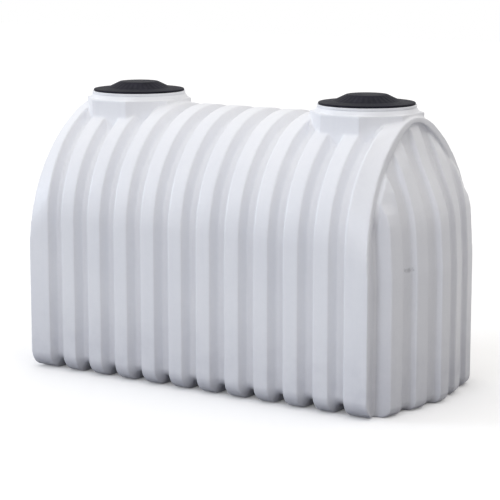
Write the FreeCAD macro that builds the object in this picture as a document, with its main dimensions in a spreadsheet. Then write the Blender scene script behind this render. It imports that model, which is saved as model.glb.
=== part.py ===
"""Ribbed two-manway underground cistern, rotationally moulded, in millimetres.

X runs along the tank, Y across it with the front at -Y, Z up. The origin is at the bottom centre.
The barrel is one flat-topped wave profile, carried round the section: across the floor, round the
bottom corners, up the walls, over the haunches and across the crown of a three-centred arch. At each
end a wide corner rib tapers to a more pointed arch, which frames a recessed panel of upright ribs.
"""
import FreeCAD, Part
import collections
import math
import os
from FreeCAD import Vector

SIZES = {
    "tank_width": (1264, "outside width over the side ribs"),
    "spring_height": (940, "height at which the walls turn into the arch"),
    "crown_height": (1640, "height of the arch over the ribs"),
    "haunch_sweep": (49.4, "degrees of arch carried by each haunch"),
    "bottom_radius": (112, "rounding of the rib along the bottom corners"),
    "wall": (10, "moulded wall"),
    "rib_count": (12, "ribs along the tank"),
    "rib_pitch": (200, "rib to rib along the tank"),
    "rib_face": (96, "flat outer face of a side rib"),
    "rib_flank": (27, "run of a side rib's sloping flank"),
    "rib_depth": (55, "height of a side rib over the groove"),
    "corner_face": (150, "face of the wider rib at each corner"),
    "corner_spring": (850, "rise of a corner rib's outer edge from its spring to the crown"),
    "corner_sweep": (62, "degrees of that edge's arch carried by each haunch"),
    "corner_lean": (53, "how far that edge leans in at the crown"),
    "end_lip": (35, "width of the corner rib's edge around the end panel"),
    "end_recess": (30, "end panel behind that edge"),
    "end_rib_count": (5, "upright ribs on each end"),
    "end_rib_pitch": (220, "rib to rib across an end"),
    "end_rib_face": (100, "flat outer face of an end rib"),
    "end_rib_flank": (14, "run of an end rib's sloping flank"),
    "end_rib_depth": (38, "height of an end rib over its groove"),
    "end_reach": (156, "middle end rib beyond the corner rib"),
    "end_setback": (42, "each end rib behind the one nearer the middle"),
    "end_bottom_radius": (55, "rounding under the end ribs"),
    "end_rib_tip": (120, "length over which the top of an end rib slopes in under the lip"),
    "lean_height": (1030, "height at which the end ribs start to lean in"),
    "lean_top": (35, "below the crown, where they reach the corner rib's plane"),
    "neck_offset": (20, "neck short of the corner rib's leaning edge"),
    "neck_across": (618, "eight-sided neck across its flats"),
    "neck_top": (20, "eight-sided neck above the crown"),
    "neck_margin": (40, "roof that stays with each crown piece around its neck"),
    "mouth_diameter": (508, "clear manway opening"),
    "rim_overhang": (4, "round rim beyond the neck's flats"),
    "rim_height": (30, "rim above the neck"),
    "rim_bevel": (22, "height of the sloping band round the rim"),
    "seat_diameter": (580, "raised ring that the lid sits on"),
    "seat_height": (8, "raised ring above the rim"),
    "lid_gap": (0.3, "play between lid and seat"),
    "lid_diameter": (564, "lid over its brim"),
    "lid_brim": (20, "thickness of the brim's edge"),
    "lid_edge": (7, "bevel round both corners of the brim's edge"),
    "lid_shoulder": (394, "diameter at which the brim turns up"),
    "lid_plateau": (238, "diameter of the lid's flat top"),
    "lid_rise": (37, "flat top above the brim"),
    "lid_wall": (7, "moulded wall of the lid"),
    "skirt_gap": (10, "play between the lid's skirt and the mouth"),
    "skirt_depth": (38, "skirt below the seat"),
}

doc = FreeCAD.newDocument("Cistern")
sheet = doc.addObject("Spreadsheet::Sheet", "Sizes")
for row, (alias, (value, note)) in enumerate(SIZES.items(), start=1):
    sheet.set(f"A{row}", alias)
    sheet.set(f"B{row}", str(value))
    sheet.setAlias(f"B{row}", alias)
    sheet.set(f"C{row}", note)
doc.recompute()


def size(alias):
    return float(sheet.get(alias))


# Derived places, worked out once from the sheet
half_width = size("tank_width") / 2
wall = size("wall")
groove = size("rib_depth")
bottom_radius = size("bottom_radius")
crown_height = size("crown_height")
rib_count = int(size("rib_count"))
corner_inner_edge = (rib_count - 1) / 2 * size("rib_pitch") - size("rib_face") / 2
hoop_start = corner_inner_edge + wall
corner_reach = corner_inner_edge + size("corner_face")
neck_top = crown_height + size("neck_top")
neck_axis = corner_reach - size("corner_lean") - size("neck_across") / 2 - size("neck_offset")
crown_split = size("neck_across") / 2 + size("neck_margin")
far = 4 * half_width

ALONG = Vector(1, 0, 0)
ACROSS = Vector(0, 1, 0)
UP = Vector(0, 0, 1)

Arch = collections.namedtuple("Arch", "spring sweep shift haunch_radius crown_radius crown_centre")


def three_centred(spring, degrees):
    """The arch over the tank's width that springs at this height and touches the crown."""
    sweep = math.radians(degrees)
    rise = crown_height - spring
    shift = (rise - half_width) / (1 + math.tan(sweep) - 1 / math.cos(sweep))
    lift = shift * math.tan(sweep)
    return Arch(spring, sweep, shift, half_width + shift, rise - lift, spring + lift)


barrel = three_centred(size("spring_height"), size("haunch_sweep"))
corner = three_centred(crown_height - size("corner_spring"), size("corner_sweep"))
spring = barrel.spring


def polygon_face(points):
    return Part.Face(Part.makePolygon(list(points) + [points[0]]))


def feature(name, shape):
    item = doc.addObject("Part::Feature", name)
    item.Shape = shape
    return item


def extrusion(name, face, direction, length):
    item = doc.addObject("Part::Extrusion", name)
    item.Base = feature(name + "_profile", face)
    item.DirMode = "Custom"
    item.Dir = direction
    item.Solid = True
    item.setExpression("LengthFwd", length)
    return item


def revolution(name, face, centre, axis, angle):
    item = doc.addObject("Part::Revolution", name)
    item.Source = feature(name + "_profile", face)
    item.Base = centre
    item.Axis = axis
    item.Solid = True
    item.setExpression("Angle", angle)
    return item


def ruled_loft(name, faces):
    item = doc.addObject("Part::Loft", name)
    item.Sections = [
        feature(f"{name}_section_{index}", face.OuterWire) for index, face in enumerate(faces)]
    item.Solid = True
    item.Ruled = True
    return item


def cut(name, base, tool):
    item = doc.addObject("Part::Cut", name)
    item.Base = base
    item.Tool = tool
    return item


def common(name, *items):
    item = doc.addObject("Part::MultiCommon", name)
    item.Shapes = list(items)
    return item


def fuse(name, *items):
    item = doc.addObject("Part::MultiFuse", name)
    item.Shapes = list(items)
    item.Refine = True
    return item


def mirrored(name, source, normal):
    item = doc.addObject("Part::Mirroring", name)
    item.Source = source
    item.Normal = normal
    return item


def box(name, low, high):
    item = doc.addObject("Part::Box", name)
    item.Length = high.x - low.x
    item.Width = high.y - low.y
    item.Height = high.z - low.z
    item.Placement.Base = low
    return item


# The side rib profile: stations along X with their depth below the rib face

def flank_trim(run, depth, inset):
    """How much narrower a rib's face is on a line that lies this far inside it."""
    return inset * math.tan(math.atan2(depth, run) / 2)


def rib_stations(inset):
    """One side of the wall; inset is how far it lies inside the outer surface."""
    half_face = size("rib_face") / 2 - flank_trim(size("rib_flank"), groove, inset)
    half_foot = half_face + size("rib_flank")
    stations = [(-hoop_start, inset)]
    for index in range(rib_count):
        middle = (index - (rib_count - 1) / 2) * size("rib_pitch")
        if index > 0:
            stations += [(middle - half_foot, inset + groove), (middle - half_face, inset)]
        if index < rib_count - 1:
            stations += [(middle + half_face, inset), (middle + half_foot, inset + groove)]
    return stations + [(hoop_start, inset)]


def rib_profile(place):
    outline = rib_stations(0) + rib_stations(wall)[::-1]
    return polygon_face([place(x, depth) for x, depth in outline])


# The ribbed barrel between the corner ribs

corner_y = half_width - bottom_radius

ribbed_floor = extrusion(
    "ribbed_floor",
    rib_profile(lambda x, depth: Vector(x, -corner_y, depth)),
    ACROSS, "Sizes.tank_width - 2 * Sizes.bottom_radius")

ribbed_corner = revolution(
    "ribbed_corner",
    rib_profile(lambda x, depth: Vector(x, depth - half_width, bottom_radius)),
    Vector(0, -corner_y, bottom_radius), ALONG, "90")

ribbed_wall = extrusion(
    "ribbed_wall",
    rib_profile(lambda x, depth: Vector(x, depth - half_width, bottom_radius)),
    UP, "Sizes.spring_height - Sizes.bottom_radius")

ribbed_haunch = revolution(
    "ribbed_haunch",
    rib_profile(lambda x, depth: Vector(x, depth - half_width, spring)),
    Vector(0, barrel.shift, spring), -ALONG, "Sizes.haunch_sweep")


def crown_point(x, depth):
    radius = barrel.crown_radius - depth
    return Vector(x, -radius * math.cos(barrel.sweep),
                  barrel.crown_centre + radius * math.sin(barrel.sweep))


ribbed_crown = revolution(
    "ribbed_crown", rib_profile(crown_point),
    Vector(0, 0, barrel.crown_centre), -ALONG, "180 - 2 * Sizes.haunch_sweep")

# The corner ribs: from the barrel's section to the more pointed edge, cut off by leaning planes


def section_face(arch, inset, floor, at_x):
    """The tank's whole cross-section under an arch, as a face square to X."""
    edge = half_width - inset
    radius = bottom_radius - inset
    bend = radius * (1 - math.sqrt(0.5))
    haunch = arch.haunch_radius - inset
    crown = arch.crown_radius - inset

    def at(y, z):
        return Vector(at_x, y, z)

    def haunch_at(angle, side):
        y = arch.shift - haunch * math.cos(angle)
        return at(-side * y, arch.spring + haunch * math.sin(angle))

    top = at(0, arch.crown_centre + crown)
    back_wall = at(edge, floor + radius)
    front_wall = at(-edge, floor + radius)
    curves = [
        Part.LineSegment(at(-edge + radius, floor), at(edge - radius, floor)),
        Part.Arc(at(edge - radius, floor), at(edge - bend, floor + bend), back_wall),
        Part.LineSegment(back_wall, haunch_at(0, 1)),
        Part.Arc(haunch_at(0, 1), haunch_at(arch.sweep / 2, 1), haunch_at(arch.sweep, 1)),
        Part.Arc(haunch_at(arch.sweep, 1), top, haunch_at(arch.sweep, -1)),
        Part.Arc(haunch_at(arch.sweep, -1), haunch_at(arch.sweep / 2, -1), haunch_at(0, -1)),
        Part.LineSegment(haunch_at(0, -1), front_wall),
        Part.Arc(front_wall, at(-edge + bend, floor + bend), at(-edge + radius, floor))]
    return Part.Face(Part.Wire([curve.toShape() for curve in curves]))


def corner_taper(name, inset):
    return ruled_loft(name, [
        section_face(barrel, inset, inset, hoop_start),
        section_face(corner, inset, inset, corner_reach)])


def lean_x(z, inset):
    """The corner rib's leaning edge plane, or a plane that lies this far inside it."""
    slope = size("corner_lean") / (crown_height - corner.spring)
    return corner_reach - inset - slope * max(0, z - corner.spring)


def lean_slab(name, inset, end_x):
    """Everything between a leaning plane and an upright one."""
    heights = (-groove, corner.spring, crown_height + groove)
    points = [Vector(lean_x(z, inset), -far, z) for z in heights]
    points += [Vector(end_x, -far, z) for z in (heights[-1], heights[0])]
    return extrusion(name, polygon_face(points), ACROSS, "4 * Sizes.tank_width")


def envelope(name, inset, floor):
    """A straight tunnel along X inside the corner rib's edge."""
    return extrusion(name, section_face(corner, inset, floor, 0), ALONG, "4 * Sizes.tank_width")


corner_outside = corner_taper("corner_outside", 0)
corner_hollow = cut("corner_hollow", corner_outside, corner_taper("corner_inside", wall))
panel_depth = size("end_recess") + wall
beyond_recess = lean_slab("beyond_recess", panel_depth, far)
lip_outside = envelope("lip_outside", size("end_lip") - wall, 0)
corner_open = common("corner_open", corner_hollow, lean_slab("inside_edge", wall, 0))
lip_block = common("lip_block", lip_outside, beyond_recess)
corner_rib = cut("corner_rib", corner_open, lip_block)


def with_corner_ribs(name, middle, low, high):
    """A barrel piece with the stretches of both corner ribs that lie in line with it."""
    right = common(f"{name}_right_end", corner_rib, box(f"{name}_range", low, high))
    return fuse(name, middle, right, mirrored(f"{name}_left_end", right, ALONG))


floor_pan = with_corner_ribs(
    "floor_pan", ribbed_floor, Vector(0, -corner_y, 0), Vector(far, corner_y, bottom_radius))
front_bottom_corner = with_corner_ribs(
    "front_bottom_corner", ribbed_corner, Vector(0, -far, 0), Vector(far, -corner_y, bottom_radius))
front_wall = with_corner_ribs(
    "front_wall", ribbed_wall, Vector(0, -far, bottom_radius), Vector(far, 0, spring))
whole_arch = with_corner_ribs(
    "whole_arch", fuse("ribbed_arch", ribbed_haunch, ribbed_crown,
                       mirrored("ribbed_back_haunch", ribbed_haunch, ACROSS)),
    Vector(0, -far, spring), Vector(far, far, far))

# The necks stand in eight-sided holes through the crown

NECK_SIDES = 8
half_side = 180 / NECK_SIDES
neck_corner = f"Sizes.neck_across / 2 / cos({half_side})"
neck_bore_corner = f"(Sizes.neck_across / 2 - Sizes.wall) / cos({half_side})"
NECK_AXIS = (
    "((Sizes.rib_count - 1) / 2 * Sizes.rib_pitch - Sizes.rib_face / 2 + Sizes.corner_face"
    " - Sizes.corner_lean - Sizes.neck_across / 2 - Sizes.neck_offset)")


def prism(name, corner_radius, height, x):
    item = doc.addObject("Part::Prism", name)
    item.Polygon = NECK_SIDES
    item.setExpression("Circumradius", corner_radius)
    item.setExpression("Height", height)
    item.Placement = FreeCAD.Placement(
        Vector(0, 0, barrel.crown_centre), FreeCAD.Rotation(UP, half_side))
    item.setExpression("Placement.Base.x", x)
    return item


def cylinder(name, radius, height, x, z):
    item = doc.addObject("Part::Cylinder", name)
    item.setExpression("Radius", radius)
    item.setExpression("Height", height)
    item.setExpression("Placement.Base.x", x)
    item.Placement.Base.z = z
    return item


roof_space = doc.addObject("Part::Cylinder", "roof_space")
roof_space.Radius = barrel.crown_radius - groove - wall
roof_space.Height = 2 * far
roof_space.Placement = FreeCAD.Placement(
    Vector(-far, 0, barrel.crown_centre), FreeCAD.Rotation(ACROSS, 90))

neck_height = f"Sizes.crown_height + Sizes.neck_top - {barrel.crown_centre}"
neck_bore_height = f"{neck_height} - Sizes.wall"
seat_top = neck_top + size("rim_height") + size("seat_height")
mouth_radius = size("mouth_diameter") / 2
crown_break = neck_axis - crown_split

lip_blocks = {"left": mirrored("left_lip_block", lip_block, ALONG), "right": lip_block}
holed_arch = whole_arch
necks = {}
for side, sign in (("left", -1), ("right", 1)):
    x = f"{sign} * {NECK_AXIS}"
    outside = prism(f"{side}_neck_outside", neck_corner, neck_height, x)
    bore = prism(f"{side}_neck_bore", neck_bore_corner, neck_bore_height, x)
    mouth = cylinder(
        f"{side}_mouth", "Sizes.mouth_diameter / 2", "Sizes.crown_height", x, barrel.crown_centre)
    hollow = cut(f"{side}_neck_hollow", outside, bore)
    open_neck = cut(f"{side}_neck_open", hollow, mouth)
    standing_neck = cut(f"{side}_neck_standing", open_neck, roof_space)
    necks[side] = cut(f"{side}_neck", standing_neck, lip_blocks[side])
    hole = prism(f"{side}_neck_hole", neck_corner, neck_height, x)
    holed_arch = cut(f"arch_after_{side}_hole", holed_arch, hole)

front_haunch = common(
    "front_haunch", holed_arch, box("front_side", Vector(-far, -far, 0), Vector(far, -crown_split, far)))
crown_middle = common(
    "crown_middle", holed_arch,
    box("middle_bays", Vector(-crown_break, -crown_split, 0), Vector(crown_break, crown_split, far)))
right_crown = common(
    "right_crown", holed_arch,
    box("right_bays", Vector(crown_break, -crown_split, 0), Vector(far, crown_split, far)))
left_crown = mirrored("left_crown", right_crown, ALONG)

# Rims and lids are turned about the manway axes


def turned(name, points, side_sign):
    face = polygon_face([Vector(radius, 0, z) for radius, z in points])
    item = revolution(name, face, Vector(0, 0, 0), UP, "360")
    item.setExpression("Placement.Base.x", f"{side_sign} * {NECK_AXIS}")
    return item


def rim_outline():
    low = neck_top
    shelf = low + size("rim_height")
    rim_radius = size("neck_across") / 2 + size("rim_overhang")
    seat_radius = size("seat_diameter") / 2
    bevel = size("rim_bevel")
    return [
        (mouth_radius, low), (rim_radius, low), (rim_radius, shelf - bevel), (seat_radius, shelf),
        (seat_radius, seat_top), (mouth_radius, seat_top)]


def lid_outline():
    low = seat_top + size("lid_gap")
    brim_top = low + size("lid_brim")
    plateau = brim_top + size("lid_rise")
    thick = size("lid_wall")
    brim = size("lid_diameter") / 2
    edge = size("lid_edge")
    shoulder = size("lid_shoulder") / 2
    flat = size("lid_plateau") / 2
    skirt = mouth_radius - size("skirt_gap")
    skirt_foot = seat_top - size("skirt_depth")
    return [
        (0, plateau), (flat, plateau), (shoulder, brim_top), (brim - edge, brim_top),
        (brim, brim_top - edge), (brim, low + edge), (brim - edge, low),
        (skirt, low), (skirt, skirt_foot), (skirt - thick, skirt_foot),
        (skirt - thick, brim_top - thick), (shoulder, brim_top - thick),
        (flat, plateau - thick), (0, plateau - thick)]


rims = {}
lids = {}
for side, sign in (("left", -1), ("right", 1)):
    rims[side] = turned(f"{side}_rim", rim_outline(), sign)
    lids[side] = turned(f"{side}_lid", lid_outline(), sign)

# The ends: a panel of upright ribs that bows out of the corner rib's frame and leans back into it


lean_top = crown_height - size("lean_top")


def lean_back(z):
    """Share of the bow that is left at a height: all of it below, none at the top."""
    part = (z - size("lean_height")) / (lean_top - size("lean_height"))
    part = min(max(part, 0), 1)
    return 1 - part * part * (3 - 2 * part)


def under_cut(height):
    """How far the ribs are rounded back this high above their feet."""
    radius = size("end_bottom_radius")
    drop = max(radius - height, 0)
    return radius - math.sqrt(radius * radius - drop * drop)


def lip_height(y):
    """Height of the lip's inner edge over a place across the end."""
    haunch = corner.haunch_radius - size("end_lip")
    crown = corner.crown_radius - size("end_lip")
    if abs(y) < haunch * math.cos(corner.sweep) - corner.shift:
        return corner.crown_centre + math.sqrt(crown * crown - y * y)
    across = min((abs(y) + corner.shift) / haunch, 1)
    return corner.spring + haunch * math.sqrt(1 - across * across)


def rib_left(y, z):
    """Share of an end rib's depth that is left near its top, which slopes in under the lip."""
    part = (z - lip_height(y)) / size("end_rib_tip") + 1
    part = min(max(part, 0), 1)
    return 1 - part * part


def bow_face(inset, floor, z):
    """Plan of the bowed panel at one height, closed inside the barrel."""
    flank = size("end_rib_flank")
    depth = size("end_rib_depth")
    pitch = size("end_rib_pitch")
    half_face = size("end_rib_face") / 2 - flank_trim(flank, depth, inset)
    half_foot = half_face + flank
    end_rib_count = int(size("end_rib_count"))
    edge_plane = lean_x(z, inset)
    panel = edge_plane - size("end_recess")

    def at(y, rib_depth):
        reach = size("end_reach") - size("end_setback") / pitch * max(0, abs(y) - half_face)
        groove_floor = edge_plane + lean_back(z) * reach - depth
        x = max(groove_floor, panel) + rib_depth * rib_left(y, z) - under_cut(z - floor)
        return Vector(max(x, panel), y, z)

    points = [Vector(panel, -far, z)]
    for index in range(end_rib_count):
        middle = (index - (end_rib_count - 1) / 2) * pitch
        points += [at(middle - half_foot, 0), at(middle - half_face, depth),
                   at(middle + half_face, depth), at(middle + half_foot, 0)]
    points[1].x = panel
    points[-1].x = panel
    return polygon_face([Vector(0, -far, z)] + points + [Vector(panel, far, z), Vector(0, far, z)])


ROUNDING_STEPS = 3
LEAN_STEPS = 10


def bow(name, inset, floor):
    """The bowed panel as a solid, through plans from its rounded foot to the crown."""
    turn = math.pi / 2 / ROUNDING_STEPS
    rounding = [
        floor + size("end_bottom_radius") * (1 - math.cos(step * turn))
        for step in range(ROUNDING_STEPS + 1)]
    lean_rise = (lean_top - size("lean_height")) / LEAN_STEPS
    leaning = [size("lean_height") + step * lean_rise for step in range(LEAN_STEPS + 1)]
    heights = rounding + [corner.spring] + leaning + [crown_height + groove]
    return ruled_loft(name, [bow_face(inset, floor, z) for z in heights])


lip_inside = envelope("lip_inside", size("end_lip"), 0)
panel_inside = envelope("panel_inside", size("end_lip") + wall, wall)
edge_slab = cut("edge_slab", lean_slab("from_wall", wall, far), lean_slab("from_edge", 0, far))
lip_slab = cut("lip_slab", beyond_recess, lean_slab("from_lip_edge", 0, far))
frame_block = fuse(
    "frame_block", common("edge_plate", edge_slab, corner_outside),
    common("lip_ring", lip_slab, lip_outside))
frame = cut("frame", frame_block, common("panel_opening", lip_inside, beyond_recess))
panel_block = common("panel_block", bow("bow_outer", 0, 0), lip_inside, beyond_recess)
end_filled = fuse("end_filled", frame, panel_block)
end_whole = cut(
    "end_whole", end_filled, common("panel_hollow", bow("bow_inner", wall, wall), panel_inside))

right_end_wall = common(
    "right_end_wall", end_whole, box("below_spring", Vector(0, -far, 0), Vector(far, far, spring)))
right_end_dome = common(
    "right_end_dome", end_whole, box("above_spring", Vector(0, -far, spring), Vector(far, far, far)))
left_end_wall = mirrored("left_end_wall", right_end_wall, ALONG)
left_end_dome = mirrored("left_end_dome", right_end_dome, ALONG)

back_bottom_corner = mirrored("back_bottom_corner", front_bottom_corner, ACROSS)
back_wall = mirrored("back_wall", front_wall, ACROSS)
back_haunch = mirrored("back_haunch", front_haunch, ACROSS)

NODES = [
    floor_pan, front_bottom_corner, back_bottom_corner, front_wall, back_wall, front_haunch,
    back_haunch, crown_middle, left_crown, right_crown, left_end_wall, right_end_wall,
    left_end_dome, right_end_dome, necks["left"], necks["right"], rims["left"], rims["right"],
    lids["left"], lids["right"]]

doc.recompute()
for item in doc.Objects:
    if "Invalid" in item.State or "Error" in item.State:
        raise RuntimeError(f"{item.Label} failed: {item.State}")
for node in NODES:
    if node.Shape.isNull() or not node.Shape.isValid():
        raise RuntimeError(f"{node.Label} has no valid shape")
    if len(node.Shape.Solids) != 1:
        raise RuntimeError(f"{node.Label} has {len(node.Shape.Solids)} solids")

os.makedirs("parts", exist_ok=True)
for node in NODES:
    node.Shape.exportStep(f"parts/{node.Label}.step")
    bounds = node.Shape.BoundBox
    print(f"{node.Label}: {node.Shape.Volume / 1e6:.2f} litres, {len(node.Shape.Faces)} faces, "
          f"x {bounds.XMin:.0f} to {bounds.XMax:.0f}, y {bounds.YMin:.0f} to {bounds.YMax:.0f}, "
          f"z {bounds.ZMin:.0f} to {bounds.ZMax:.0f}")
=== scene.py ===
# %% [markdown]
# # A ribbed underground cistern
# The tank is one hollow moulding of white polyethylene with two necks, each closed by a black lid. The packed
# frame holds the true sizes of its pieces. This lesson dresses that frame: soft moulded skins, turned rims and
# lids, procedural finishes, then a plain studio. Everything is in metres, with Z up and the long side along X.

import math

import bmesh
import bpy
from mathutils import Matrix, Vector


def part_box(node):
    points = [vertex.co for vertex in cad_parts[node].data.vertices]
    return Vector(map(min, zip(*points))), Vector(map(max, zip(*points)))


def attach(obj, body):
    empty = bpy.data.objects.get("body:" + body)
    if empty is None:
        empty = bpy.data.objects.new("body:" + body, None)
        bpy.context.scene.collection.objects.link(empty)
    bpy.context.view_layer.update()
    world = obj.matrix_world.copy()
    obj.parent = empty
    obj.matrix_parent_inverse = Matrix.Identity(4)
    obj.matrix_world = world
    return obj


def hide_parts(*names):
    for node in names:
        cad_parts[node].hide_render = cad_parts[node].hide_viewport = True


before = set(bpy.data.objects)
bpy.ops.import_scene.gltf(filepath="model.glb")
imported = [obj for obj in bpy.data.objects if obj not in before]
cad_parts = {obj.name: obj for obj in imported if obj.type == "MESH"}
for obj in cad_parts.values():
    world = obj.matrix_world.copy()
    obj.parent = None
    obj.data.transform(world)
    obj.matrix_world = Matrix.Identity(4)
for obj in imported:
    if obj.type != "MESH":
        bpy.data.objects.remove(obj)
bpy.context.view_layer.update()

# %% [markdown]
# ## Gathering the moulding
# On the real tank the walls, ends, crown and necks are one moulding, made by turning a hot mould full of
# powder. The frame has them as separate solids. Each solid could be softened by itself, but the seams between
# them would still show as hard lines. Copies of all of them are therefore gathered in one mesh.

# %% Copy the solids of the moulding
LONG_NODES = [
    "floor_pan", "front_bottom_corner", "back_bottom_corner", "front_wall", "back_wall",
    "front_haunch", "back_haunch", "crown_middle"]
SIDES = {"left": -1, "right": 1}
SIDE_PIECES = ("end_wall", "end_dome", "crown", "neck")
SIDE_NODES = {side: [f"{side}_{piece}" for piece in SIDE_PIECES] for side in SIDES}
MERGE_DISTANCE = 1e-5


def add_copy(bm, node):
    """Adds a copy of a node's mesh, with its loose corners merged."""
    copy = bmesh.new()
    copy.from_mesh(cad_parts[node].data)
    bmesh.ops.remove_doubles(copy, verts=copy.verts, dist=MERGE_DISTANCE)
    mesh = bpy.data.meshes.new(node + "_copy")
    copy.to_mesh(mesh)
    copy.free()
    bm.from_mesh(mesh)
    bpy.data.meshes.remove(mesh)


moulding = bmesh.new()
for node in LONG_NODES + SIDE_NODES["left"] + SIDE_NODES["right"]:
    add_copy(moulding, node)
print("moulding:", len(moulding.faces), "faces gathered")

# %% [markdown]
# ## Plugging the necks
# The next step needs a mesh with a clear outside, and an open neck would let the outside in. A plug shuts each
# neck for now. A flat face would do, but a plate with some depth is safer on a grid of cells. The cone operator
# makes it, with eight sides and two equal radii, and it ends inside the neck's wall.

# %% Plug the necks
NECK_SIDES = 8
PLUG_DEPTH = 0.02
WALL = 0.01
neck_low, neck_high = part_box("right_neck")
NECK_ACROSS = neck_high.y - neck_low.y
NECK_TOP = neck_high.z
rim_low, rim_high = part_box("right_rim")
NECK_OFFSET = (rim_low.x + rim_high.x) / 2


def add_plug(bm, sign):
    """Shuts a neck with an eight-sided plate that ends inside the neck's wall."""
    corner_radius = (NECK_ACROSS - WALL) / 2 / math.cos(math.pi / NECK_SIDES)
    place = Matrix.Translation((sign * NECK_OFFSET, 0, NECK_TOP - PLUG_DEPTH / 2))
    turn = Matrix.Rotation(math.pi / NECK_SIDES, 4, "Z")
    bmesh.ops.create_cone(
        bm, cap_ends=True, segments=NECK_SIDES, radius1=corner_radius, radius2=corner_radius,
        depth=PLUG_DEPTH, matrix=place @ turn)


for sign in SIDES.values():
    add_plug(moulding, sign)
print("necks:", round(NECK_ACROSS, 3), "m across, plugged at", round(NECK_TOP, 3), "m")

# %% [markdown]
# ## One soft skin
# A moulded tank has no sharp edge: the plastic runs round every corner. Bevels would have to follow hundreds
# of crossing edges, so the gathered solids are remeshed on a grid of small cells instead, which joins them and
# drops what is inside. Two rounds of smoothing then round the edges as the mould does.

# %% Remesh and smooth
SKIN_CELL = 0.006
SKIN_ROUNDS = 2
SMOOTH_FACTOR = 0.5


def remeshed(bm, cell):
    """A new bmesh of the outside of this one, on cells of this size."""
    mesh = bpy.data.meshes.new("gathered")
    bm.to_mesh(mesh)
    gathered = bpy.data.objects.new("gathered", mesh)
    bpy.context.scene.collection.objects.link(gathered)
    cells = gathered.modifiers.new("cells", "REMESH")
    cells.mode = "VOXEL"
    cells.voxel_size = cell
    graph = bpy.context.evaluated_depsgraph_get()
    outside = bpy.data.meshes.new_from_object(gathered.evaluated_get(graph))
    bpy.data.objects.remove(gathered)
    bpy.data.meshes.remove(mesh)
    result = bmesh.new()
    result.from_mesh(outside)
    bpy.data.meshes.remove(outside)
    return result


def smoothed(bm, rounds):
    """Rounds the edges of a remeshed skin."""
    for _ in range(rounds):
        bmesh.ops.smooth_vert(
            bm, verts=bm.verts, factor=SMOOTH_FACTOR, use_axis_x=True, use_axis_y=True, use_axis_z=True)
    bm.normal_update()


skin = remeshed(moulding, SKIN_CELL)
smoothed(skin, SKIN_ROUNDS)
print("skin:", len(skin.faces), "faces on cells of", SKIN_CELL * 1000, "mm")

# %% [markdown]
# ## Opening the necks
# The plugs come out again, so that the tank is open under its lids. A boolean would cut a cleaner hole, but takes
# long on so many cells. Deleting the small faces near each neck's axis is enough, because the rims cover the
# ragged edge that this leaves.

# %% Cut the mouths
MOUTH_RADIUS = 0.254
SKIN_MOUTH = MOUTH_RADIUS + 0.025


def from_neck_axis(point):
    """Distance of a point from the axis of the nearer neck."""
    return math.hypot(abs(point.x) - NECK_OFFSET, point.y)


def open_mouths(bm, radius, above):
    """Deletes the plugs: the faces above a height and within a radius of a neck's axis."""
    plugs = []
    for face in bm.faces:
        centre = face.calc_center_median()
        if centre.z > above and from_neck_axis(centre) < radius:
            plugs.append(face)
    bmesh.ops.delete(bm, geom=plugs, context="FACES")


open_mouths(skin, SKIN_MOUTH, NECK_TOP - PLUG_DEPTH)
print("skin:", len(skin.faces), "faces with its mouths open")

# %% [markdown]
# ## Fewer faces on the flats
# Most cells lie on flat stretches of rib and groove, where large faces look the same. A Decimate modifier would
# thin the rounded edges too. A limited dissolve joins only cells that lie flat. The corners that remain would then
# shade a little differently, so each first notes the direction that it has now.

# %% Join the flat cells
FLAT_ANGLE = math.radians(0.5)


def thinned(bm):
    """Joins the cells of flat stretches. Each corner first notes the direction that it has now."""
    kept_normal = bm.verts.layers.float_vector.new("kept_normal")
    for corner in bm.verts:
        corner[kept_normal] = corner.normal
    bmesh.ops.dissolve_limit(
        bm, angle_limit=FLAT_ANGLE, use_dissolve_boundaries=False, verts=bm.verts, edges=bm.edges, delimit=set())


thinned(skin)
print("skin:", len(skin.faces), "faces once its flat stretches are joined")

# %% [markdown]
# ## Parting the skin
# The skin is still too dense for one piece, so it is parted into three along the flat floor of two grooves. A
# fresh cut edge would shade as an edge does. Each corner gets back the direction that it had in the whole skin,
# and so the parting lines don't show.

# %% Part the skin into three shells
PARTING = 0.6
FAR = 10.0


def new_piece(name, bm, normals=None):
    """Makes a smooth object of a bmesh, at the origin, and frees the bmesh."""
    mesh = bpy.data.meshes.new(name)
    bm.to_mesh(mesh)
    bm.free()
    mesh.shade_smooth()
    if normals:
        mesh.normals_split_custom_set_from_vertices(normals)
    piece = bpy.data.objects.new(name, mesh)
    bpy.context.scene.collection.objects.link(piece)
    print(name + ":", len(mesh.polygons), "faces")
    return piece


def part_of_skin(name, low, high):
    """The stretch of the skin between two places along the tank."""
    part = skin.copy()
    outside = [face for face in part.faces if not low < face.calc_center_median().x <= high]
    bmesh.ops.delete(part, geom=outside, context="FACES")
    kept_normal = part.verts.layers.float_vector["kept_normal"]
    normals = [corner[kept_normal].copy() for corner in part.verts]
    part.verts.layers.float_vector.remove(kept_normal)
    return new_piece(name, part, normals)


shells = {
    "left": part_of_skin("left_shell", -FAR, -PARTING),
    "middle": part_of_skin("middle_shell", -PARTING, PARTING),
    "right": part_of_skin("right_shell", PARTING, FAR)}
skin.free()

# %% [markdown]
# ## The inside of the tank
# With a lid lifted, one looks down a neck into the hollow tank. The inside follows the outside at the
# thickness of the wall. It could be solidified from the skin, at twice the faces. A coarser skin drawn in by the
# wall and turned inside out shows the same hollow for far fewer.

# %% Line the inside
LINING_CELL = 0.022
LINING_ROUNDS = 2

lining = remeshed(moulding, LINING_CELL)
moulding.free()
smoothed(lining, LINING_ROUNDS)
for corner in lining.verts:
    corner.co -= corner.normal * WALL
open_mouths(lining, MOUTH_RADIUS + WALL, NECK_TOP - WALL - PLUG_DEPTH)
bmesh.ops.reverse_faces(lining, faces=lining.faces)
lining_piece = new_piece("inside_wall", lining)

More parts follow.
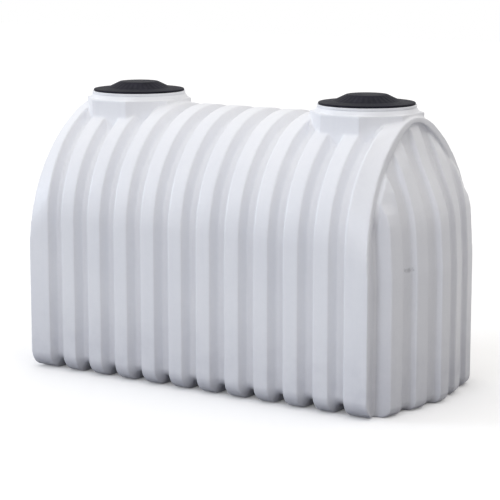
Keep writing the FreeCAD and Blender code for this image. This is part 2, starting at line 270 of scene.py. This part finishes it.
# %% [markdown]
# ## Tools for turned pieces
# Rims and lids are round about an upright axis, as if made on a lathe. They could be stacked from cones and
# cylinders, which then have to be joined. Spinning one outline of a few corners makes the whole piece at once,
# and a bevel takes the hardness off the edges that turn sharply.

# %% Turn and soften
TURN_STEPS = 160
SHARP_ANGLE = math.radians(16)


def turned(outline, closed):
    """Spins an outline of (radius, height) corners about Z."""
    bm = bmesh.new()
    corners = [bm.verts.new((radius, 0, height)) for radius, height in outline]
    for start, end in zip(corners, corners[1:]):
        bm.edges.new((start, end))
    if closed:
        bm.edges.new((corners[-1], corners[0]))
    bmesh.ops.spin(
        bm, geom=bm.verts[:] + bm.edges[:], axis=(0, 0, 1), cent=(0, 0, 0),
        angle=2 * math.pi, steps=TURN_STEPS, use_merge=True)
    bmesh.ops.remove_doubles(bm, verts=bm.verts, dist=MERGE_DISTANCE)
    bmesh.ops.recalc_face_normals(bm, faces=bm.faces)
    return bm


def soften(bm, width, segments, chosen=None):
    """Bevels the edges that turn by more than a shallow angle, or of these only the chosen ones."""
    sharp = [edge for edge in bm.edges if edge.is_manifold and edge.calc_face_angle() > SHARP_ANGLE]
    if chosen:
        sharp = [edge for edge in sharp if all(chosen(corner.co) for corner in edge.verts)]
    bmesh.ops.bevel(
        bm, geom=sharp, offset=width, affect="EDGES", segments=segments, profile=0.5, material=-1)


print("turned pieces have", TURN_STEPS, "steps round the axis")

# %% [markdown]
# ## The rims
# Each neck ends in a round rim: a band that slopes in from the neck, a fine groove, and a raised ring that the
# lid sits on. The outline starts a little below the neck's top and inside its wall. A rim set on top would leave
# a dark gap all round, and this one grows out of the neck.

# %% Spin the rims
SEAT_RADIUS = 0.29
SEAT_HEIGHT = 0.016
SEAT_GROOVE = 0.003
RIM_EDGE = 0.002
RIM_LAP = 0.012
RIM_FOOT = NECK_ACROSS / 2 - 0.001
EDGE_SEGMENTS = 3
seat_foot = rim_high.z - SEAT_HEIGHT
RIM_OUTLINE = [
    (MOUTH_RADIUS, NECK_TOP - RIM_LAP), (RIM_FOOT - RIM_LAP / 2, NECK_TOP - RIM_LAP),
    (RIM_FOOT, NECK_TOP - RIM_LAP / 2), (SEAT_RADIUS, seat_foot - SEAT_GROOVE),
    (SEAT_RADIUS - SEAT_GROOVE, seat_foot), (SEAT_RADIUS, seat_foot + SEAT_GROOVE),
    (SEAT_RADIUS, rim_high.z), (MOUTH_RADIUS, rim_high.z)]

rims = {}
for side, sign in SIDES.items():
    rim = turned(RIM_OUTLINE, True)
    soften(rim, RIM_EDGE, EDGE_SEGMENTS)
    bmesh.ops.translate(rim, verts=rim.verts, vec=(sign * NECK_OFFSET, 0, 0))
    rims[side] = new_piece(f"{side}_mouth_rim", rim)

# %% [markdown]
# ## The outline of a lid
# A lid is a black moulded hat: a flat plateau, a slope, a brim that thins toward its edge and covers the raised
# ring, and a skirt that hangs in the mouth. It is hollow, so the outline runs along the top, round the brim and the
# skirt, and back under the top at the thickness of the wall. Both its ends lie on the axis.

# %% Draw the outline of a lid
lid_low, lid_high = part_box("right_lid")
LID_RADIUS = (lid_high.x - lid_low.x) / 2
LID_TOP = lid_high.z
LID_RISE = 0.037
LID_BRIM = 0.02
LID_SHOULDER = 0.197
LID_PLATEAU = 0.119
LID_WALL = 0.007
BRIM_DROP = 0.008
SKIRT_RADIUS = MOUTH_RADIUS - 0.01
brim_top = LID_TOP - LID_RISE
brim_low = brim_top - LID_BRIM
LID_OUTLINE = [
    (0, LID_TOP), (LID_PLATEAU, LID_TOP), (LID_SHOULDER, brim_top), (LID_RADIUS, brim_top - BRIM_DROP),
    (LID_RADIUS, brim_low), (SKIRT_RADIUS, brim_low), (SKIRT_RADIUS, lid_low.z),
    (SKIRT_RADIUS - LID_WALL, lid_low.z), (SKIRT_RADIUS - LID_WALL, brim_top - LID_WALL),
    (LID_SHOULDER, brim_top - LID_WALL), (LID_PLATEAU, LID_TOP - LID_WALL), (0, LID_TOP - LID_WALL)]
print("lid:", len(LID_OUTLINE), "corners in the outline,", round(2 * LID_RADIUS, 3), "m across")

# %% [markdown]
# ## Ribs on the slope
# Shallow ribs run down the slope of the lid and stiffen it. Each rib could be a piece of its own, but they are
# part of the moulding. The slope gets more corners instead, and moving these down in a wave round the lid presses
# the hollows between the ribs. The wave fades out toward both ends of the slope.

# %% Press the ribs
RIB_COUNT = 32
RIB_DEPTH = 0.0024
SLOPE_CUTS = 8
SLOPE_MARGIN = 0.01


def on_slope(corner):
    """Whether a corner lies on the upper side of the slope, and how far along it, from 0 to 1."""
    radius = math.hypot(corner.co.x, corner.co.y)
    along = (radius - LID_PLATEAU) / (LID_SHOULDER - LID_PLATEAU)
    height = LID_TOP - LID_RISE * along
    inside = -SLOPE_MARGIN < along < 1 + SLOPE_MARGIN and abs(corner.co.z - height) < LID_WALL / 3
    return inside, along


def press_ribs(bm):
    """Cuts the slope's edges and presses a wave of shallow ribs into it."""
    slope_edges = [
        edge for edge in bm.edges
        if all(on_slope(corner)[0] for corner in edge.verts)
        and abs(edge.verts[0].co.z - edge.verts[1].co.z) > LID_RISE / 2]
    bmesh.ops.subdivide_edges(bm, edges=slope_edges, cuts=SLOPE_CUTS, use_grid_fill=True)
    for corner in bm.verts:
        inside, along = on_slope(corner)
        if inside:
            wave = 0.5 - 0.5 * math.cos(RIB_COUNT * math.atan2(corner.co.y, corner.co.x))
            corner.co.z -= RIB_DEPTH * wave * math.sin(math.pi * min(max(along, 0), 1))


print("ribs:", RIB_COUNT, "on each lid,", RIB_DEPTH * 1000, "mm deep")

# %% [markdown]
# ## The two lids
# The brim's edge is rolled, so it gets a rounder bevel than the other edges, and gets it first. One lid could be
# mirrored into the other, which would turn its faces inside out. Spinning each one is as quick.

# %% Spin the lids
LID_EDGE = 0.004
BRIM_ROUND = 0.005
BRIM_SEGMENTS = 6


def on_brim_edge(point):
    """Whether a point lies on the outer edge of the brim."""
    return math.hypot(point.x, point.y) > LID_RADIUS - MERGE_DISTANCE


lids = {}
for side, sign in SIDES.items():
    lid = turned(LID_OUTLINE, False)
    press_ribs(lid)
    soften(lid, BRIM_ROUND, BRIM_SEGMENTS, on_brim_edge)
    soften(lid, LID_EDGE, EDGE_SEGMENTS)
    bmesh.ops.recalc_face_normals(lid, faces=lid.faces)
    bmesh.ops.translate(lid, verts=lid.verts, vec=(sign * NECK_OFFSET, 0, 0))
    lids[side] = new_piece(f"{side}_hat_lid", lid)

# %% [markdown]
# ## Shader maths in words
# A finish is a tree of nodes. Linking them by hand hides the idea, so a small class wraps a socket: adding or
# multiplying two of them adds a Math node, and one method adds any other node with its settings and inputs.

# %% The socket class


class Wire:
    """A socket of one shader tree. Arithmetic on it adds Math nodes to the tree."""

    def __init__(self, tree, socket=None):
        self.tree = tree
        self.socket = socket

    def feed(self, node, inputs):
        """Links wires to a node's sockets, and sets the sockets that get a plain value."""
        for name, value in inputs.items():
            if isinstance(value, Wire):
                self.tree.links.new(value.socket, node.inputs[name])
            else:
                node.inputs[name].default_value = value

    def node(self, kind, settings, inputs, output=0):
        """Adds a node: its settings first, then the values or links of its sockets."""
        made = self.tree.nodes.new(kind)
        for name, value in settings.items():
            setattr(made, name, value)
        self.feed(made, inputs)
        return Wire(self.tree, made.outputs[output])

    def math(self, operation, first, second=0.0):
        return self.node("ShaderNodeMath", {"operation": operation}, {0: first, 1: second})

    def __add__(self, other):
        return self.math("ADD", self, other)

    def __sub__(self, other):
        return self.math("SUBTRACT", self, other)

    def __rsub__(self, other):
        return self.math("SUBTRACT", other, self)

    def __mul__(self, other):
        return self.math("MULTIPLY", self, other)

    __radd__ = __add__
    __rmul__ = __mul__


print("arithmetic on a", Wire.__name__, "adds Math nodes")

# %% [markdown]
# ## Helpers for the finishes
# Three things come back in every finish: a soft step from one value to another, noise stretched between two
# levels, and a colour between two others. They could be node groups. Small functions do the same and can be read
# from top to bottom.

# %% Steps, grains and blends
GRAIN_ROUGHNESS = 0.55


def new_finish(name):
    """A new material, with its shader node and a wire to start from."""
    finish = bpy.data.materials.new(name)
    finish.use_nodes = True
    return finish, finish.node_tree.nodes["Principled BSDF"], Wire(finish.node_tree)


def stepped(start, value, low, high, curve="SMOOTHSTEP"):
    """0 where the value is at low, 1 where it is at high."""
    return start.node(
        "ShaderNodeMapRange", {"interpolation_type": curve},
        {"Value": value, "From Min": low, "From Max": high})


def grain(start, coords, grains, detail, low, high):
    """Noise of so many grains a metre, stretched to 0 at low and 1 at high."""
    noise = start.node(
        "ShaderNodeTexNoise", {},
        {"Vector": coords, "Scale": grains, "Detail": detail, "Roughness": GRAIN_ROUGHNESS})
    return stepped(start, noise, low, high)


def blended(start, share, first, second):
    """A colour between two others."""
    return start.node(
        "ShaderNodeMix", {"data_type": "RGBA"}, {0: share, 6: first, 7: second}, output=2)


print("noise has a roughness of", GRAIN_ROUGHNESS)

# %% [markdown]
# ## Patterns of the white polyethylene
# Rotationally moulded polyethylene is cloudy, with fine flecks from the powder. Rain leaves faint streaks down the
# walls, and the walls get a painted shade toward the feet, darker and bluer, where the ground shades them. Images
# could show that, but would have to be unwrapped onto the ribs. Noise on Object coordinates runs over every seam,
# and noise squeezed along Z is drawn out into streaks.

# %% Lay out clouds, flecks, streaks and painted foot shade
STREAK_SQUEEZE = (1, 1, 0.08)
# painted shade toward the feet: none above the first height, full at the second
FOOT_SHADE_TOP = 0.6
FOOT_SHADE_FULL = -0.08
EVEN_FOOT_SHADE = 0.55

white, white_shader, start = new_finish("white_polyethylene")
coords = start.node("ShaderNodeTexCoord", {}, {}, output="Object")
clouds = grain(start, coords, grains=1.7, detail=3.0, low=0.35, high=0.65)
flecks = grain(start, coords, grains=42.0, detail=2.0, low=0.3, high=0.75)
squeezed = start.node("ShaderNodeVectorMath", {"operation": "MULTIPLY"}, {0: coords, 1: STREAK_SQUEEZE})
streaks = grain(start, squeezed, grains=24.0, detail=3.0, low=0.45, high=0.8)
height = start.node("ShaderNodeSeparateXYZ", {}, {"Vector": coords}, output="Z")
foot_shade_patches = grain(start, coords, grains=9.0, detail=5.0, low=0.35, high=0.8)
# painted shade from the ground: darker toward the feet, broken into patches by noise
painted_foot_shade = stepped(start, height, FOOT_SHADE_TOP, FOOT_SHADE_FULL) * (EVEN_FOOT_SHADE + (1 - EVEN_FOOT_SHADE) * foot_shade_patches)
print("four patterns from", len(white.node_tree.nodes), "nodes")

# %% [markdown]
# ## One rubbed mark
# The right end has a small dark mark, where something has rubbed the middle of a rib. A thin plate with its own
# finish could stand there, but would show an edge. The mark is a mask instead: the distance from its place, measured
# in its own reach along each axis, and made ragged by noise.

# %% Place the rubbed mark
SCUFF_AT = (1.257, -0.296, 0.815)
SCUFF_REACH = (0.055, 0.055, 0.016)
SCUFF_OUTSIDE = 1.5
SCUFF_INSIDE = 0.4
SCUFF_RAGGED = 0.7

from_mark = start.node("ShaderNodeVectorMath", {"operation": "SUBTRACT"}, {0: coords, 1: SCUFF_AT})
from_mark = start.node("ShaderNodeVectorMath", {"operation": "DIVIDE"}, {0: from_mark, 1: SCUFF_REACH})
from_mark = start.node("ShaderNodeVectorMath", {"operation": "LENGTH"}, {0: from_mark}, output="Value")
ragged = SCUFF_RAGGED * grain(start, coords, grains=60.0, detail=3.0, low=0.3, high=0.7)
scuff = stepped(start, from_mark + ragged, SCUFF_OUTSIDE, SCUFF_INSIDE)
print("rubbed mark at", SCUFF_AT)

# %% [markdown]
# ## Colour of the white polyethylene
# The patterns go over the milky white like thin washes of paint, each with its own colour and strength. Math nodes
# would turn a colour grey, so every wash is a Mix node, and only its mask comes from maths.

# %% Colour the white
MILK = (0.815, 0.822, 0.852, 1)
PALE_MILK = (0.842, 0.847, 0.872, 1)
WASHES = [
    {"mask": flecks, "strength": 0.10, "colour": (0.72, 0.73, 0.77, 1)},
    {"mask": streaks, "strength": 0.10, "colour": (0.66, 0.67, 0.72, 1)},
    # painted shade toward the feet, darker and bluer
    {"mask": painted_foot_shade, "strength": 0.5, "colour": (0.42, 0.425, 0.485, 1)},
    {"mask": scuff, "strength": 0.4, "colour": (0.25, 0.25, 0.27, 1)}]

colour = blended(start, clouds, MILK, PALE_MILK)
for wash in WASHES:
    colour = blended(start, wash["mask"] * wash["strength"], colour, wash["colour"])
start.feed(white_shader, {"Base Color": colour})
print(len(WASHES), "washes over the white")

# %% [markdown]
# ## Surface of the white polyethylene
# The plastic has a satin gloss, duller toward the feet under the painted shade. It is not quite flat: cooling
# leaves broad waves, and the powder a fine orange peel. As geometry these would take millions of faces. A bump is
# enough for forms as shallow as that.

# %% Give the white its gloss and waves
SATIN = 0.36
FLECK_DULLS = 0.08
FOOT_SHADE_DULLS = 0.2
PEEL_SHARE = 0.05

waves = grain(start, coords, grains=6.5, detail=2.0, low=0.2, high=0.8)
peel = grain(start, coords, grains=150.0, detail=2.0, low=0.2, high=0.8)
bump = start.node(
    "ShaderNodeBump", {}, {"Strength": 0.35, "Distance": 0.004, "Height": waves + peel * PEEL_SHARE})
# the roughness also rises under the painted shade toward the feet
start.feed(white_shader, {"Roughness": SATIN + flecks * FLECK_DULLS + painted_foot_shade * FOOT_SHADE_DULLS, "Normal": bump})
white_pieces = [*shells.values(), lining_piece, *rims.values()]
for piece in white_pieces:
    piece.data.materials.append(white)
print(white.name, "has", len(white.node_tree.nodes), "nodes and is on", len(white_pieces), "pieces")

# %% [markdown]
# ## Dust on the lids
# Dust stays in the hollows between the ribs of a lid. It could be painted there, but the places are known: the
# hollows follow the angle round the lid's axis. The wave that pressed them gives the mask as well, kept to the
# slope by the distance from the axis. Taking X without its sign lets one finish serve both lids.

# %% Find the hollows of the lids
SLOPE_FADE_IN = 0.025
SLOPE_FADE_OUT = 0.02
SHOULDER_SPILL = 0.004
EVEN_LID_DUST = 0.4

black, black_shader, start = new_finish("black_lid_plastic")
coords = start.node("ShaderNodeTexCoord", {}, {}, output="Object")
patches = grain(start, coords, grains=11.0, detail=4.0, low=0.35, high=0.7)
along = start.node("ShaderNodeSeparateXYZ", {}, {"Vector": coords}, output="X")
across = start.node("ShaderNodeSeparateXYZ", {}, {"Vector": coords}, output="Y")
from_axis = start.math("ABSOLUTE", along) - NECK_OFFSET
hollows = 0.5 - 0.5 * start.math("COSINE", RIB_COUNT * start.math("ARCTAN2", across, from_axis))
radius = start.math("SQRT", from_axis * from_axis + across * across)
below_plateau = stepped(start, radius, LID_PLATEAU, LID_PLATEAU + SLOPE_FADE_IN, "LINEAR")
above_brim = stepped(start, radius, LID_SHOULDER + SHOULDER_SPILL, LID_SHOULDER - SLOPE_FADE_OUT, "LINEAR")
lid_dust = hollows * below_plateau * above_brim * (EVEN_LID_DUST + (1 - EVEN_LID_DUST) * patches)
print("hollows of the lids from", len(black.node_tree.nodes), "nodes")

# %% [markdown]
# ## The black plastic
# The lids are a harder black plastic with a slightly blue tint, dull in patches and finely pored. The patches could
# be colour alone, but wear changes the gloss too, so the roughness follows the same noise as the colour.

# %% Mix the black plastic
INK = (0.011, 0.011, 0.017, 1)
WORN_INK = (0.022, 0.021, 0.031, 1)
LID_DUST_COLOUR = (0.055, 0.055, 0.064, 1)
LID_DUST_STRENGTH = 0.32
LID_GLOSS = 0.06
LID_DULL = 0.5
PATCH_DULLS = 0.12
PORE_DULLS = 0.05

pores = grain(start, coords, grains=260.0, detail=2.0, low=0.3, high=0.7)
bump = start.node("ShaderNodeBump", {}, {"Strength": 0.25, "Distance": 0.001, "Height": pores + patches})
colour = blended(start, patches, INK, WORN_INK)
start.feed(black_shader, {
    "Base Color": blended(start, lid_dust * LID_DUST_STRENGTH, colour, LID_DUST_COLOUR),
    "Roughness": LID_DULL + patches * PATCH_DULLS + pores * PORE_DULLS,
    "Specular IOR Level": LID_GLOSS,
    "Normal": bump})
for piece in lids.values():
    piece.data.materials.append(black)
print(black.name, "has", len(black.node_tree.nodes), "nodes and is on", len(lids), "pieces")

# %% [markdown]
# ## Riding on the frame
# Each piece is now hung on the body that it moves with, and the solids that it stands for are hidden. The three
# skins share the long solids, because each covers a stretch of them.

# %% Hand the pieces to the frame
for name, shell in shells.items():
    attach(shell, "tank")
    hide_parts(*LONG_NODES, *SIDE_NODES.get(name, []))
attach(lining_piece, "tank")
for side in SIDES:
    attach(rims[side], "tank")
    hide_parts(f"{side}_rim")
    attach(lids[side], f"{side}_cover")
    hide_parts(f"{side}_lid")

# %% [markdown]
# ## The floor
# The floor is pale and keeps the tank's shadow. A white floor would also throw much light up under the ribs. The
# Light Path node parts the two: what the camera, gloss or glass sees is white with a little lift, and what
# lights the tank is dark.

# %% Lay the floor
FLOOR_SIZE = 60.0
FLOOR_BOUNCE = (0.05, 0.052, 0.08, 1)
FLOOR_LIFT = (0.08, 0.08, 0.08, 1)
WHITE = (1, 1, 1, 1)
BLACK = (0, 0, 0, 1)


def seen_directly(start):
    """1 for rays that show the backdrop: straight from the camera, or by way of gloss or glass."""
    rays = [
        start.node("ShaderNodeLightPath", {}, {}, output=f"Is {kind} Ray")
        for kind in ("Camera", "Glossy", "Transmission")]
    both = start.math("MAXIMUM", rays[0], rays[1])
    return start.math("MAXIMUM", both, rays[2])


floor_bm = bmesh.new()
bmesh.ops.create_grid(floor_bm, x_segments=1, y_segments=1, size=FLOOR_SIZE / 2)
floor = new_piece("studio_floor", floor_bm)
pale, pale_shader, start = new_finish("pale_floor")
seen = seen_directly(start)
start.feed(pale_shader, {
    "Base Color": blended(start, seen, FLOOR_BOUNCE, WHITE),
    "Emission Color": blended(start, seen, BLACK, FLOOR_LIFT),
    "Emission Strength": 1.0,
    "Roughness": 1.0,
    "Specular IOR Level": 0.0})
floor.data.materials.append(pale)
print("floor:", FLOOR_SIZE, "m wide")

# %% [markdown]
# ## The sky
# A studio tent gives an even light that grows a little toward its top. Large area lamps could do that, but would
# show as shapes in the gloss. A world that is brighter upward has no edges, and Light Path again shows the camera
# plain white.

# %% Light the sky
SKY_LOW = 0.78
SKY_RISE = 0.24
SKY_TINT = (1.0, 0.985, 0.97, 1)

world = bpy.data.worlds.new("white_sky")
bpy.context.scene.world = world
world.use_nodes = True
sky = Wire(world.node_tree)
look = sky.node("ShaderNodeTexCoord", {}, {}, output="Generated")
upward = sky.node("ShaderNodeSeparateXYZ", {}, {"Vector": look}, output="Z")
light = SKY_LOW + SKY_RISE * sky.math("MAXIMUM", upward, 0.0)
seen = seen_directly(sky)
sky.feed(world.node_tree.nodes["Background"], {
    "Color": blended(sky, seen, SKY_TINT, WHITE),
    "Strength": light + seen * (1 - light)})
print("sky:", SKY_LOW, "to", SKY_LOW + SKY_RISE)

# %% [markdown]
# ## Two low suns
# An even sky alone leaves the ribs flat. Two weak suns low in front and at the left give each rib a lighter and
# a darker flank. Lamps close by would fade along the tank. A sun is far away and lights every rib alike, and a
# wide one has soft shadows.

# %% Hang the suns
SUN_WIDTH = math.radians(20)
SUNS = {
    "front_sun": {"from": (0.0, -0.96, 0.27), "strength": 0.55, "tint": (0.82, 0.88, 1.0)},
    "side_sun": {"from": (-0.835, -0.48, 0.26), "strength": 0.80, "tint": (0.76, 0.86, 1.0)}}

for name, lamp in SUNS.items():
    sun = bpy.data.lights.new(name, "SUN")
    sun.energy = lamp["strength"]
    sun.angle = SUN_WIDTH
    sun.color = lamp["tint"]
    piece = bpy.data.objects.new(name, sun)
    piece.rotation_euler = (-Vector(lamp["from"])).to_track_quat("-Z", "Y").to_euler()
    bpy.context.scene.collection.objects.link(piece)
bpy.context.scene.view_settings.view_transform = "Standard"
print("suns:", sorted(SUNS))

# %% [markdown]
# ## The camera
# The photograph was taken from the right of the front, a little above the tank, with a long lens. A camera could
# be set by eye. This one stands where the lines of the ribs and the lids agree with that view, and a small shift of
# the lens centres the tank as it is there.

# %% Place the camera
CAMERA_AT = Vector((6.159, -9.276, 2.717))
LOOKING_AT = Vector((0.0, 0.0, 0.7394))
eye = bpy.data.cameras.new("camera")
eye.sensor_width = 36.0
eye.lens = 133.5
eye.shift_x = 0.0032
eye.shift_y = 0.0076
eye.clip_end = 200.0
camera = bpy.data.objects.new("camera", eye)
camera.location = CAMERA_AT
camera.rotation_euler = (LOOKING_AT - CAMERA_AT).to_track_quat("-Z", "Y").to_euler()
bpy.context.scene.collection.objects.link(camera)
bpy.context.scene.camera = camera
print("camera", round((LOOKING_AT - CAMERA_AT).length, 2), "m away")
